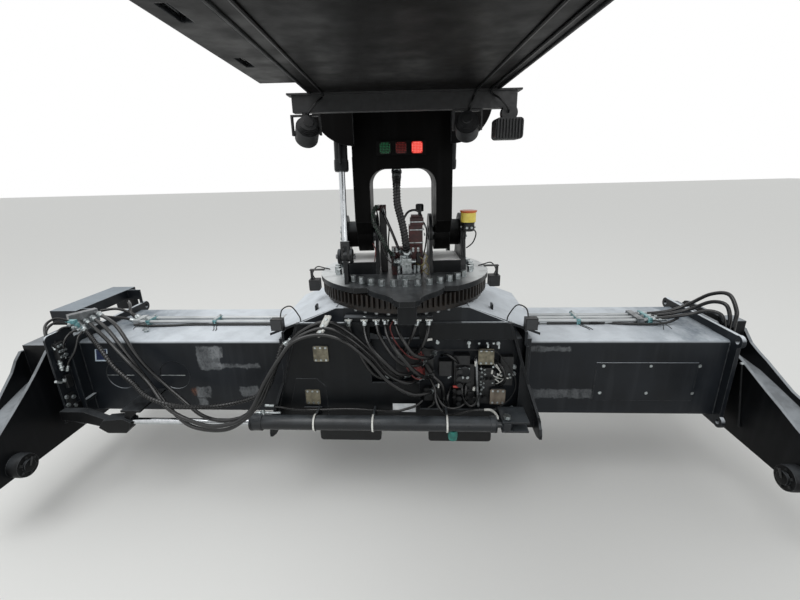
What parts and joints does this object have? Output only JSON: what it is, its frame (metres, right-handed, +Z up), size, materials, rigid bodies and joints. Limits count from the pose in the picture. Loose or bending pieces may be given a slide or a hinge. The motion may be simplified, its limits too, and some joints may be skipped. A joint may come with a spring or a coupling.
{
  "type": "reach stacker container spreader",
  "caption": "Telescopic container spreader hung from a reach stacker's boom head, with slewing rotator, side shift, sliding arms and turning twistlocks.",
  "frame": {"origin": "middle of the bolted face of the boom's tail flange", "axes": "+X along the spreader to the driver's right, +Y forward along the boom to the head, +Z up"},
  "size_m": [6.194, 5.9039, 3.45],
  "materials": {
    "chrome": "hard chromed rod",
    "gear": "oiled gear steel",
    "lamp": "black lamp case",
    "maroon": "dark red paint",
    "paint": "satin anthracite paint",
    "rubber": "black hose rubber",
    "steel": "plain steel",
    "yellow": "yellow cup",
    "zinc": "zinc plated steel"
  },
  "bodies": {
    "boom": {"boom_section": "paint", "boom_head": "paint", "boom_tray": "paint", "boom_lamps": "lamp", "signal_lamps": "lamp", "tilt_pins": "steel", "boom_hoses": "rubber"},
    "rotator": {"rotator_plate": "paint", "rotator_lamps": "lamp", "slew_ring": "gear", "valve_block": "zinc", "manifold": "maroon", "lubricator": "yellow", "pinion_guard": "paint", "valve_hoses": "rubber"},
    "tilt_cylinder_l": {"tilt_barrel_l": "paint"},
    "tilt_piston_l": {"tilt_rod_l": "chrome"},
    "tilt_cylinder_r": {"tilt_barrel_r": "paint"},
    "tilt_piston_r": {"tilt_rod_r": "chrome"},
    "shift_frame": {"slew_gear": "gear", "shift_frame": "paint", "shift_panels": "paint", "shift_barrel": "paint", "valve_bank": "zinc", "frame_lamps": "lamp", "frame_feet": "paint", "sagging_hoses": "rubber", "frame_hoses": "rubber"},
    "beam": {"main_beam": "paint", "beam_flanges": "paint", "shift_rod": "chrome", "rod_bracket": "paint", "hose_guard": "paint", "hose_ports": "zinc", "beam_pipes": "zinc", "beam_hoses": "rubber"},
    "left_arm": {"left_inner": "paint", "left_end": "paint"},
    "right_arm": {"right_inner": "paint", "right_end": "paint"},
    "lock_lf": {"lock_lf": "steel"},
    "lock_lb": {"lock_lb": "steel"},
    "lock_rf": {"lock_rf": "steel"},
    "lock_rb": {"lock_rb": "steel"}
  },
  "joints": [
    {"name": "boom_tilt", "type": "hinge", "parent": "boom", "child": "rotator", "pos_m": [0, 4.5, -1.25], "axis": [-1, 0, 0], "range_deg": [-10, 60], "deforming": ["boom_hoses"]},
    {"name": "slew", "type": "hinge", "parent": "rotator", "child": "shift_frame", "pos_m": [0, 4.5, -1.25], "axis": [0, 0, 1], "range_deg": [-101.6, 198.4]},
    {"name": "side_shift", "type": "slide", "parent": "shift_frame", "child": "beam", "axis": [0.9982, -0.0593, 0], "range_m": [-0.693, 0.907], "deforming": ["sagging_hoses"]},
    {"name": "extend_left", "type": "slide", "parent": "beam", "child": "left_arm", "axis": [-0.9982, 0.0593, 0], "range_m": [0, 3.05]},
    {"name": "extend_right", "type": "slide", "parent": "beam", "child": "right_arm", "axis": [0.9982, -0.0593, 0], "range_m": [0, 3.05]},
    {"name": "tilt_barrel_l_turn", "type": "hinge", "parent": "boom", "child": "tilt_cylinder_l", "pos_m": [-0.438, 4.26, 0], "axis": [1, 0, 0], "range_deg": [-2, 4]},
    {"name": "tilt_rod_l_slide", "type": "slide", "parent": "tilt_cylinder_l", "child": "tilt_piston_l", "axis": [0, -0.1394, -0.9902], "range_m": [-0.46, 0.09]},
    {"name": "tilt_barrel_r_turn", "type": "hinge", "parent": "boom", "child": "tilt_cylinder_r", "pos_m": [0.427, 4.74, 0], "axis": [1, 0, 0], "range_deg": [-12, 3]},
    {"name": "tilt_rod_r_slide", "type": "slide", "parent": "tilt_cylinder_r", "child": "tilt_piston_r", "axis": [0, 0.1394, -0.9902], "range_m": [-0.09, 0.37]},
    {"name": "lock_lf_turn", "type": "hinge", "parent": "left_arm", "child": "lock_lf", "pos_m": [-3.09515, 3.55239, -2.86], "axis": [0, 0, 1], "range_deg": [0, 90]},
    {"name": "lock_lb_turn", "type": "hinge", "parent": "left_arm", "child": "lock_lb", "pos_m": [-2.96117, 5.80742, -2.86], "axis": [0, 0, 1], "range_deg": [0, 90]},
    {"name": "lock_rf_turn", "type": "hinge", "parent": "right_arm", "child": "lock_rf", "pos_m": [2.74755, 3.20527, -2.86], "axis": [0, 0, 1], "range_deg": [0, 90]},
    {"name": "lock_rb_turn", "type": "hinge", "parent": "right_arm", "child": "lock_rb", "pos_m": [2.88152, 5.4603, -2.86], "axis": [0, 0, 1], "range_deg": [0, 90]}
  ],
  "couplings": [
    {"joint": "extend_right", "follows": "extend_left", "ratio": 1},
    {"joint": "tilt_barrel_l_turn", "follows": "boom_tilt", "ratio": 0.035},
    {"joint": "tilt_rod_l_slide", "follows": "boom_tilt", "m_per_rad": -0.4135},
    {"joint": "tilt_barrel_r_turn", "follows": "boom_tilt", "ratio": -0.18},
    {"joint": "tilt_rod_r_slide", "follows": "boom_tilt", "m_per_rad": 0.32},
    {"joint": "lock_lb_turn", "follows": "lock_lf_turn", "ratio": 1},
    {"joint": "lock_rf_turn", "follows": "lock_lf_turn", "ratio": 1},
    {"joint": "lock_rb_turn", "follows": "lock_lf_turn", "ratio": 1}
  ]
}
